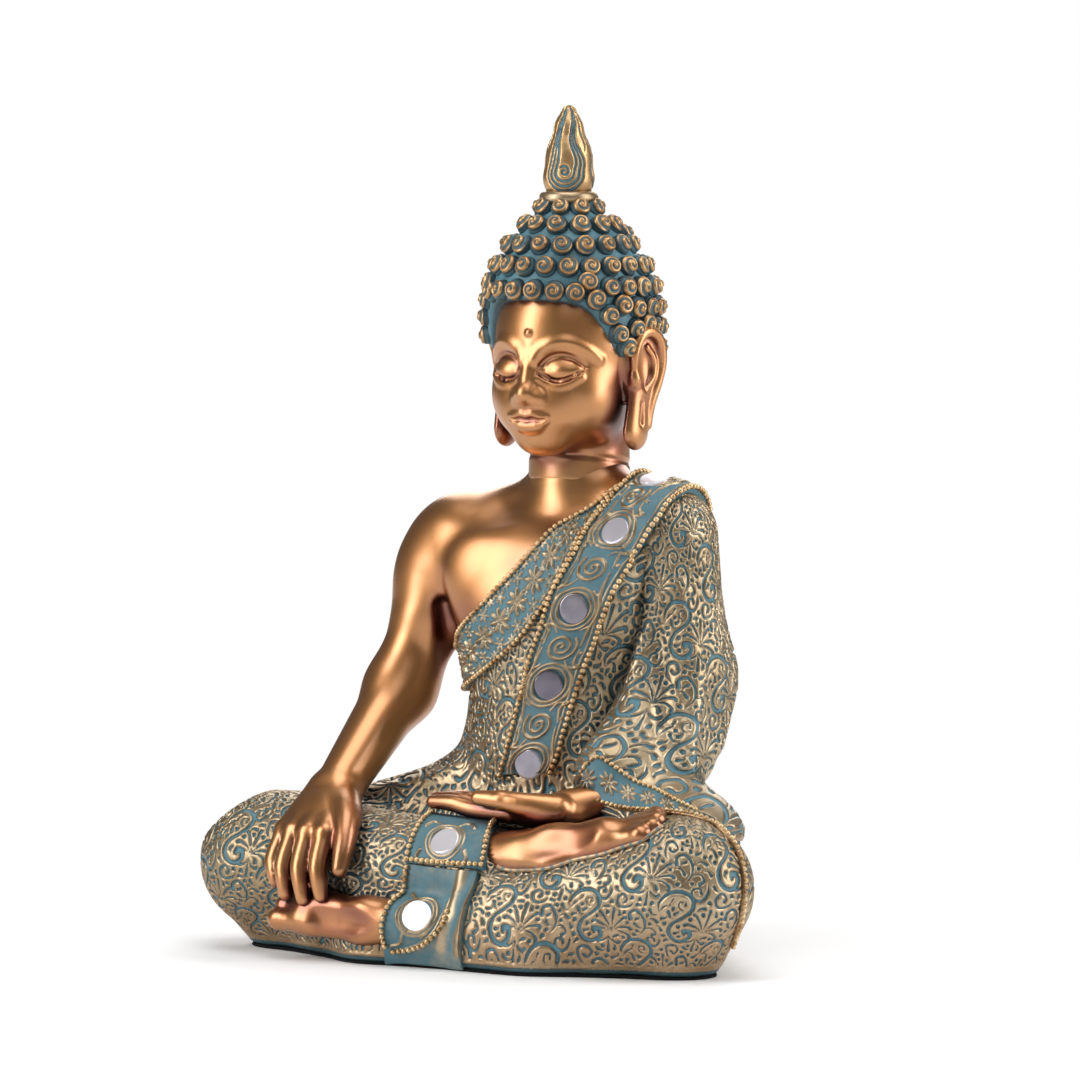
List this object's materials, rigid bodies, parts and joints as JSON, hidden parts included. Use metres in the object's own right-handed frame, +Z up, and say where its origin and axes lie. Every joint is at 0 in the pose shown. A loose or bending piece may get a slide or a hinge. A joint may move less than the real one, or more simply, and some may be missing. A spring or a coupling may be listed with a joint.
{
  "type": "buddha statue",
  "caption": "Seated cross-legged figure with one hand reaching to the ground, curled hair, flame finial, and a patterned robe trimmed with small round mirrors",
  "frame": {"origin": "the middle of the base, on the underside of the felt pad", "axes": "+Z up; the figure faces -Y; its left hand is on +X"},
  "size_m": [0.2048, 0.122, 0.2773],
  "materials": {
    "skin": "cast stone-resin, satin bronze-gold paint with copper-brown in the hollows",
    "robe": "cast stone-resin, antique gold paint with teal wash in the engraved scrollwork",
    "trim": "cast stone-resin, gold-rubbed beads and scrolls over a teal ground",
    "hair": "cast stone-resin, matt teal with gold rubbed on the raised curls",
    "mirror": "small silvered craft mirrors",
    "felt": "black felt"
  },
  "bodies": {
    "root": {"head": "skin", "bust": "skin", "right_arm": "skin", "left_hand": "skin", "right_foot": "skin", "left_foot": "skin", "robe_torso": "robe", "robe_sleeve": "robe", "lap_legs": "robe", "shoulder_band": "trim", "chest_border": "trim", "sash_upper": "trim", "sash_lower": "trim", "finial_collar": "trim", "hair_cap": "hair", "flame_finial": "hair", "mirror_1": "mirror", "mirror_2": "mirror", "mirror_3": "mirror", "mirror_4": "mirror", "mirror_5": "mirror", "mirror_6": "mirror", "mirror_7": "mirror", "mirror_8": "mirror", "mirror_9": "mirror", "mirror_10": "mirror", "felt_pad": "felt"}
  },
  "joints": []
}
